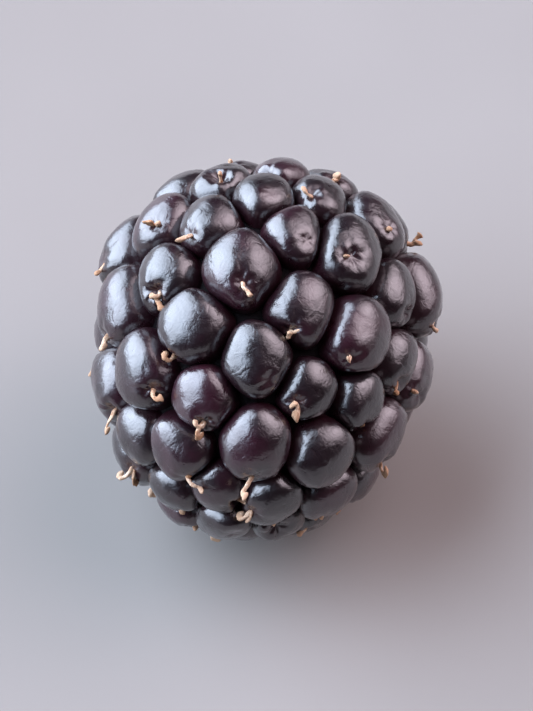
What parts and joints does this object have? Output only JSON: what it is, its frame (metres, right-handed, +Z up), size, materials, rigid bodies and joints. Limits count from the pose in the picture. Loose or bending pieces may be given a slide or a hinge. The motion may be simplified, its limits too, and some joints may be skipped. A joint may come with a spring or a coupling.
{
  "type": "bramble berry",
  "caption": "Ripe bramble berry, picked without its calyx: an egg-shaped fruit of tightly pressed, glossy black drupelets with short dried styles and a pale receptacle end.",
  "frame": {"origin": "on the surface that the berry lies on, under the middle of the berry", "axes": "+Z up, tip of the berry towards -Y and a little down, stem end towards +Y, the berry's own axis turned 8 degrees about Z"},
  "size_m": [0.0276, 0.0308, 0.0263],
  "materials": {
    "drupelets": "glossy taut skin, near black with a red-purple tint",
    "styles": "matt, dry plant fibre, tan to orange-brown",
    "receptacle": "matt, moist plant tissue, pale cream with a green tint"
  },
  "bodies": {
    "root": {"drupelets": "drupelets", "receptacle": "receptacle"}
  },
  "joints": []
}
